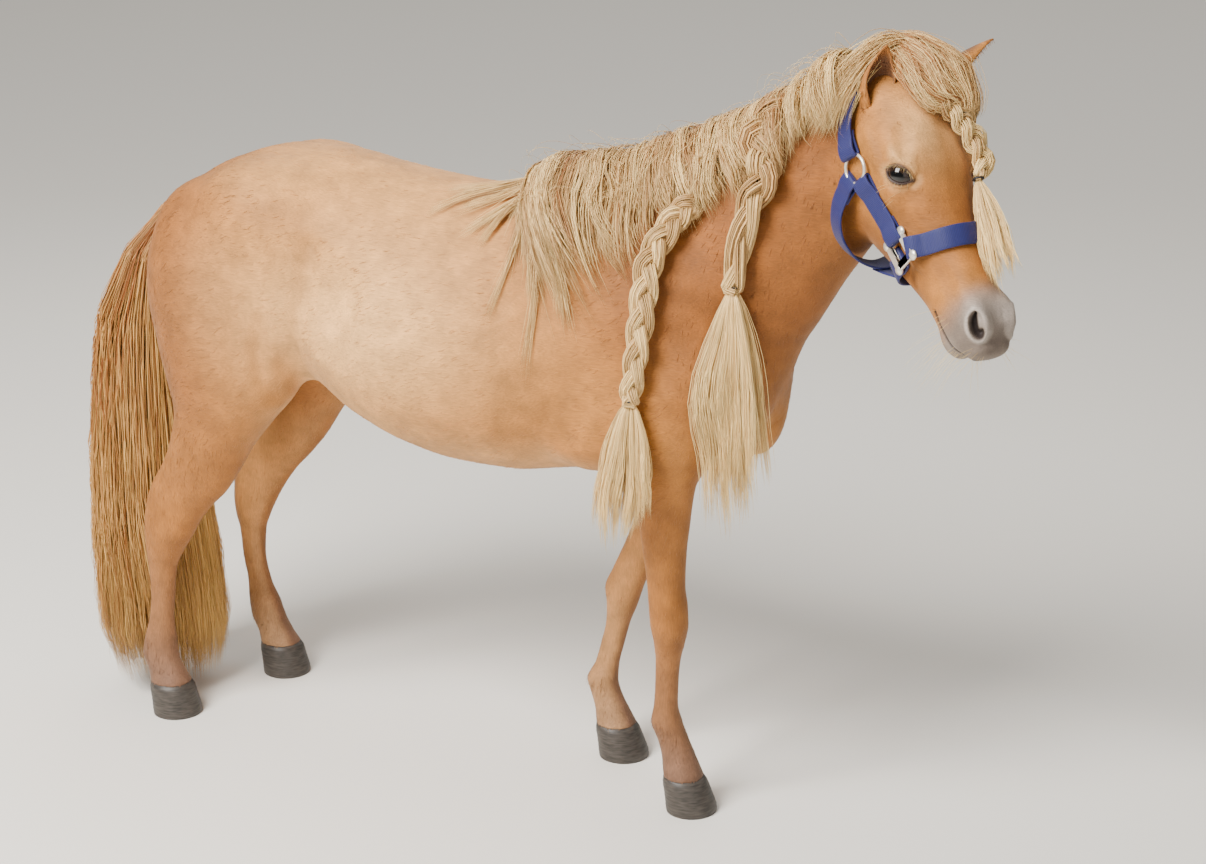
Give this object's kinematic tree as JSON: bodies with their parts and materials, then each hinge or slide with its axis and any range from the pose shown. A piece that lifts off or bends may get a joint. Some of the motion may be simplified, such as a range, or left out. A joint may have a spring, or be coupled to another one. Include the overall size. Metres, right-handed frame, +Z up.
{
  "type": "shetland pony model",
  "caption": "Standing Shetland pony, head turned to its right, with plaited flaxen mane and forelock, a long full tail and a flat webbing halter.",
  "frame": {"origin": "middle of the bounding box, on the floor under the pony", "axes": "+X towards the pony's chest and head, +Y towards the pony's left side, +Z up"},
  "size_m": [1.5188, 0.413, 1.1357],
  "materials": {
    "long_hair": "long flaxen hair in tapered locks",
    "coat": "short sleek hair, golden chestnut",
    "eye": "wet, dark brown",
    "webbing": "ribbed royal blue webbing",
    "halter_metal": "cast and plated, lightly worn",
    "hoof": "dry dark horn",
    "tie": "small dark elastic"
  },
  "bodies": {
    "root": {"braid_front": "long_hair", "braid_rear": "long_hair", "ear_left": "coat", "ear_right": "coat", "eye_left": "eye", "eye_right": "eye", "forelock": "long_hair", "halter_cheekpiece_left": "webbing", "halter_cheekpiece_right": "webbing", "halter_chin_strap": "webbing", "halter_crownpiece": "webbing", "halter_fitting_left": "halter_metal", "halter_fitting_right": "halter_metal", "halter_jaw_strap": "webbing", "halter_noseband": "webbing", "halter_ring_left": "halter_metal", "halter_ring_right": "halter_metal", "halter_throat_strap": "webbing", "head": "coat", "hoof_front_left": "hoof", "hoof_front_right": "hoof", "hoof_hind_left": "hoof", "hoof_hind_right": "hoof", "leg_front_left": "coat", "leg_front_right": "coat", "leg_hind_left": "coat", "leg_hind_right": "coat", "mane": "long_hair", "neck": "coat", "tail": "long_hair", "tie_forelock": "tie", "tie_front": "tie", "tie_rear": "tie", "torso": "coat"}
  },
  "joints": []
}
